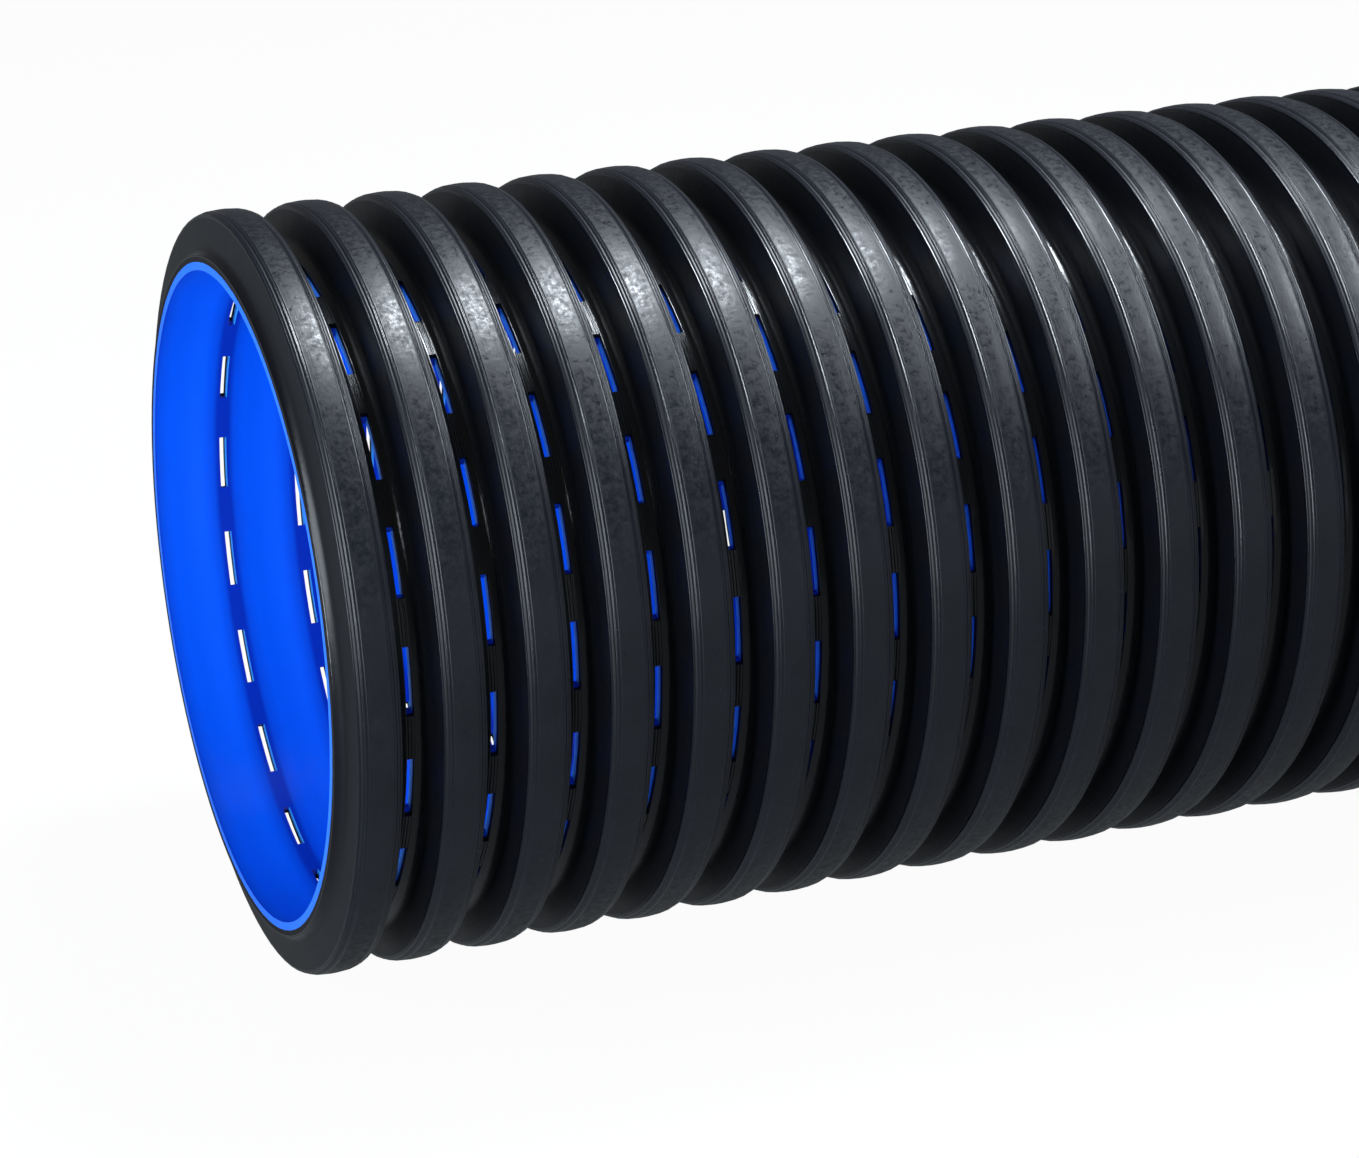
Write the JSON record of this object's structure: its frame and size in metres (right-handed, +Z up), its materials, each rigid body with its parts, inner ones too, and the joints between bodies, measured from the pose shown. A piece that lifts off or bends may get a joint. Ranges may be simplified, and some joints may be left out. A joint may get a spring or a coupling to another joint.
{
  "type": "corrugated drainage pipe",
  "caption": "Straight twin-wall drainage pipe with a ribbed black outer wall, a smooth blue liner and rows of sawn slots in the valleys between the ribs.",
  "frame": {"origin": "centre of the bore at the near cut end", "axes": "+X runs along the pipe's axis from the near cut end to the far one, +Z is up and the pipe lies on its side"},
  "size_m": [1.0017, 0.315, 0.3149],
  "materials": {
    "outer_wall": "matte moulded polypropylene",
    "liner": "satin extruded polypropylene"
  },
  "bodies": {
    "root": {"corrugated_wall": "outer_wall", "smooth_liner": "liner"}
  },
  "joints": []
}
